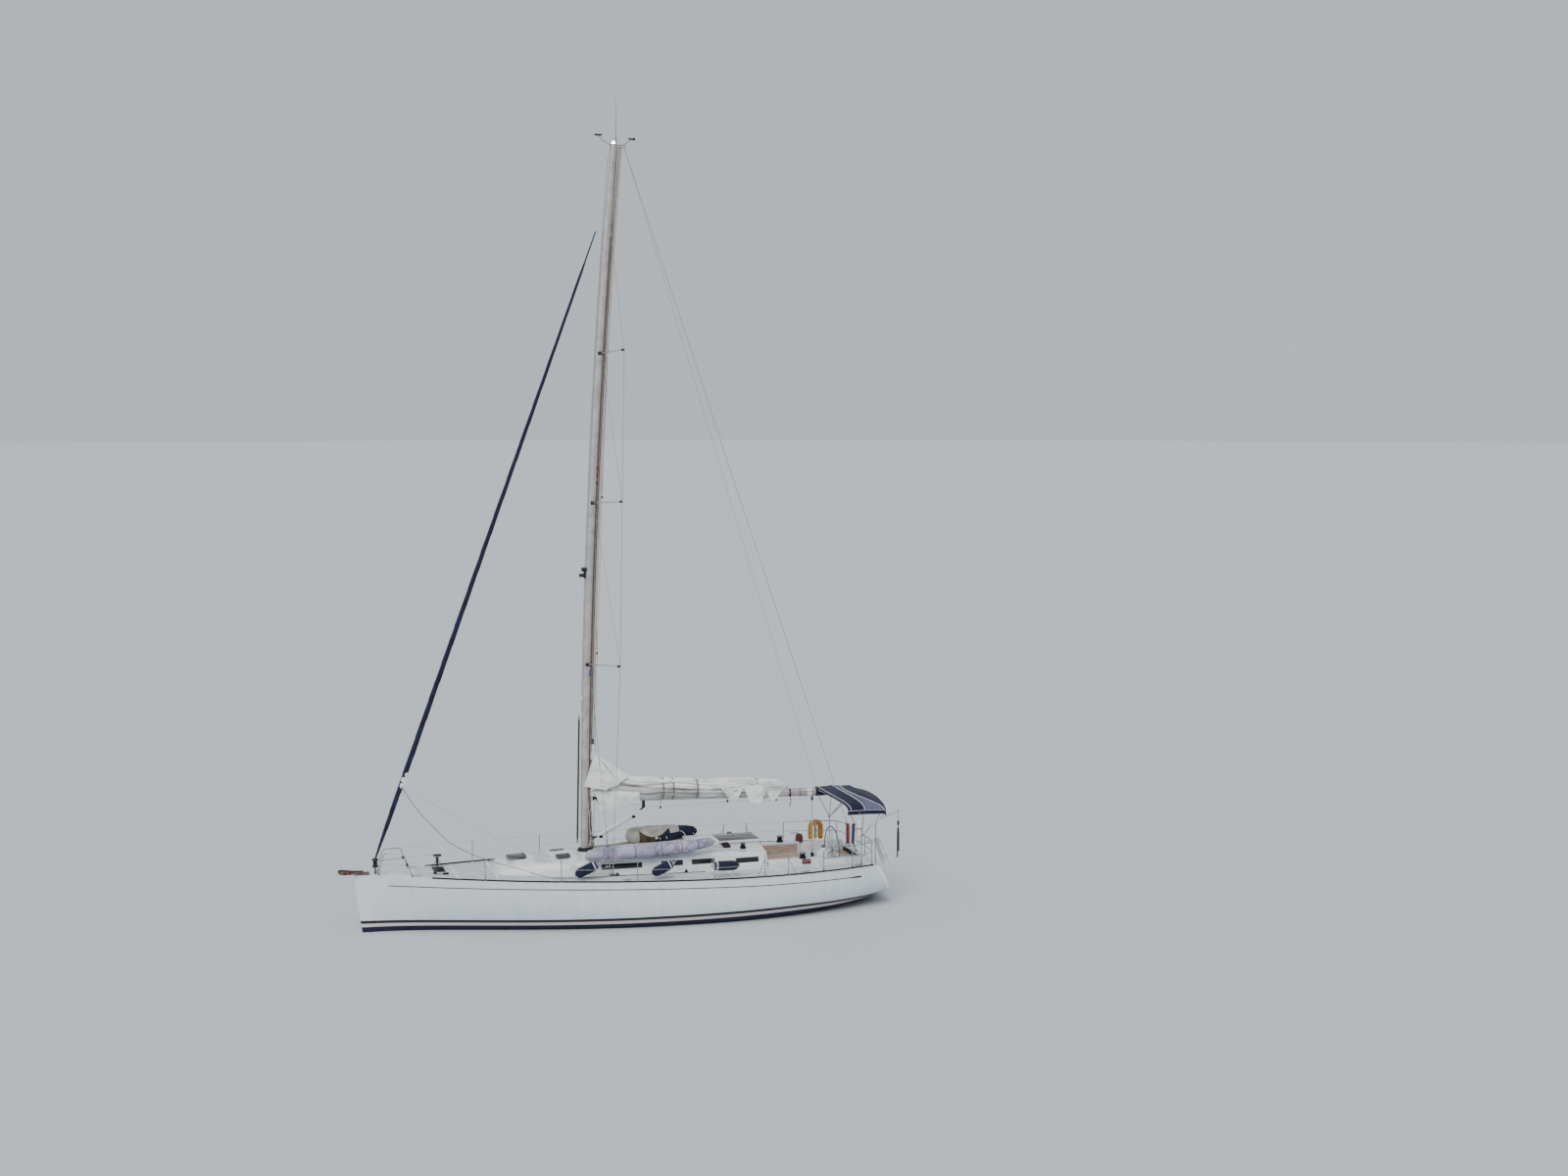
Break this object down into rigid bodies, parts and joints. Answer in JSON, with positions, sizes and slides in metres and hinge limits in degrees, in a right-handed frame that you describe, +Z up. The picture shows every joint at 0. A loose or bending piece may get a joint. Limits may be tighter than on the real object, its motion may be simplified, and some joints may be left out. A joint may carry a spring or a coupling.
{
  "type": "sailing yacht",
  "caption": "Sloop afloat with her mainsail stowed on the boom, a furled headsail, bimini over the helm, fin keel with bulb and spade rudder",
  "frame": {"origin": "on the centreline at the level of the water, amidships", "axes": "+X to the bow, +Y to port, +Z up"},
  "size_m": [15.5931, 4.48, 24.9679],
  "materials": {
    "hull_gelcoat": "glossy sprayed gelcoat",
    "deck_gelcoat": "gelcoat with a fine nonslip grain",
    "tinted_glass": "polished dark tinted acrylic",
    "joinery": "varnished veneer",
    "engine_paint": "painted casting",
    "antifouling": "matt rolled antifouling paint over a casting",
    "drive_alloy": "painted alloy casting",
    "bronze": "cast and ground bronze",
    "spar_alloy": "anodised extrusion",
    "black_plastic": "moulded black plastic",
    "navy_cloth": "woven acrylic canvas",
    "stainless": "polished stainless tube and wire",
    "pole_laminate": "clear coated carbon laminate",
    "sail_cloth": "folded laminate sailcloth",
    "rope": "braided polyester",
    "winch_metal": "black anodised alloy",
    "teak": "bare weathered teak slats",
    "gangway_laminate": "white moulded plank",
    "lifebuoy_cloth": "coated yellow cloth over foam",
    "bag_cloth": "coated bag cloth",
    "bundle_cloth": "cotton cover over packed bags"
  },
  "bodies": {
    "yacht": {"hull": "hull_gelcoat", "deck": "deck_gelcoat", "coachroof": "deck_gelcoat", "cockpit": "deck_gelcoat", "helm_well": "deck_gelcoat", "stern_bench": "deck_gelcoat", "windows_port": "tinted_glass", "windows_starboard": "tinted_glass", "cabin_liner": "joinery", "engine_block": "engine_paint", "keel": "antifouling", "saildrive": "drive_alloy", "mast": "spar_alloy", "spreaders_lower": "spar_alloy", "spreaders_middle": "spar_alloy", "spreaders_upper": "spar_alloy", "masthead_gear": "black_plastic", "furled_jib": "navy_cloth", "furler_drum": "black_plastic", "shrouds_port": "stainless", "shrouds_starboard": "stainless", "backstay": "stainless", "whisker_pole": "pole_laminate", "traveller": "black_plastic", "guard_rail_port": "stainless", "guard_rail_starboard": "stainless", "pulpit": "stainless", "pushpit": "stainless", "bow_roller": "stainless", "windlass": "black_plastic", "winch_port": "winch_metal", "winch_starboard": "winch_metal", "sea_hood": "deck_gelcoat", "washboard": "tinted_glass", "pedestal": "deck_gelcoat", "bimini_frame": "stainless", "bimini_canvas": "navy_cloth", "gangway": "gangway_laminate", "lifebuoy": "lifebuoy_cloth", "fender_forward": "navy_cloth", "fender_middle": "navy_cloth", "fender_aft": "navy_cloth", "sail_bag": "bag_cloth", "deck_bundle": "bundle_cloth"},
    "boom": {"boom": "spar_alloy", "vang": "spar_alloy", "mainsail": "sail_cloth", "mainsheet": "rope"},
    "rudder": {"rudder": "antifouling"},
    "wheel": {"wheel": "stainless"},
    "propeller": {"propeller": "bronze"},
    "fore_hatch": {"fore_hatch": "tinted_glass"},
    "side_hatch": {"side_hatch": "tinted_glass"},
    "sliding_hatch": {"sliding_hatch": "tinted_glass"},
    "locker_lid_port": {"locker_lid_port": "teak"},
    "locker_lid_starboard": {"locker_lid_starboard": "teak"},
    "anchor_locker_lid": {"anchor_locker_lid": "deck_gelcoat"},
    "davit": {"davit": "stainless"}
  },
  "joints": [
    {"name": "boom_swing", "type": "hinge", "parent": "yacht", "child": "boom", "pos_m": [0.59, 0, 3.33], "axis": [-0.0104, 0, 0.9999], "range_deg": [-62, 62]},
    {"name": "rudder_turn", "type": "hinge", "parent": "yacht", "child": "rudder", "pos_m": [-6.02, 0, 0], "axis": [0, 0, 1], "range_deg": [-35, 35]},
    {"name": "wheel_turn", "type": "hinge", "parent": "yacht", "child": "wheel", "pos_m": [-6.45, 0, 1.39], "axis": [1, 0, 0], "range_deg": [-351, 351]},
    {"name": "propeller_turn", "type": "hinge", "parent": "yacht", "child": "propeller", "pos_m": [-3.13, 0, -0.88], "axis": [1, 0, 0], "continuous": true},
    {"name": "fore_hatch_hinge", "type": "hinge", "parent": "yacht", "child": "fore_hatch", "pos_m": [3.04, 0, 1.83], "axis": [0, 1, 0], "range_deg": [0, 80]},
    {"name": "side_hatch_hinge", "type": "hinge", "parent": "yacht", "child": "side_hatch", "pos_m": [1.76, 0.47, 1.875], "axis": [0, 1, 0], "range_deg": [0, 80]},
    {"name": "sliding_hatch_slide", "type": "slide", "parent": "yacht", "child": "sliding_hatch", "axis": [1, 0, 0], "range_m": [0, 0.6]},
    {"name": "locker_lid_port_hinge", "type": "hinge", "parent": "yacht", "child": "locker_lid_port", "pos_m": [-4.96, 0.9, 1.13], "axis": [-1, 0, 0], "range_deg": [0, 80]},
    {"name": "locker_lid_starboard_hinge", "type": "hinge", "parent": "yacht", "child": "locker_lid_starboard", "pos_m": [-4.96, -0.9, 1.13], "axis": [1, 0, 0], "range_deg": [0, 80]},
    {"name": "anchor_locker_lid_hinge", "type": "hinge", "parent": "yacht", "child": "anchor_locker_lid", "pos_m": [5.79, 0, 1.582], "axis": [0, -1, 0], "range_deg": [0, 95]},
    {"name": "davit_swivel", "type": "hinge", "parent": "yacht", "child": "davit", "pos_m": [-7.22, 1.6, 1.3], "axis": [0, 0, 1], "range_deg": [-100, 0]}
  ],
  "couplings": [
    {"joint": "wheel_turn", "follows": "rudder_turn", "ratio": 10}
  ]
}
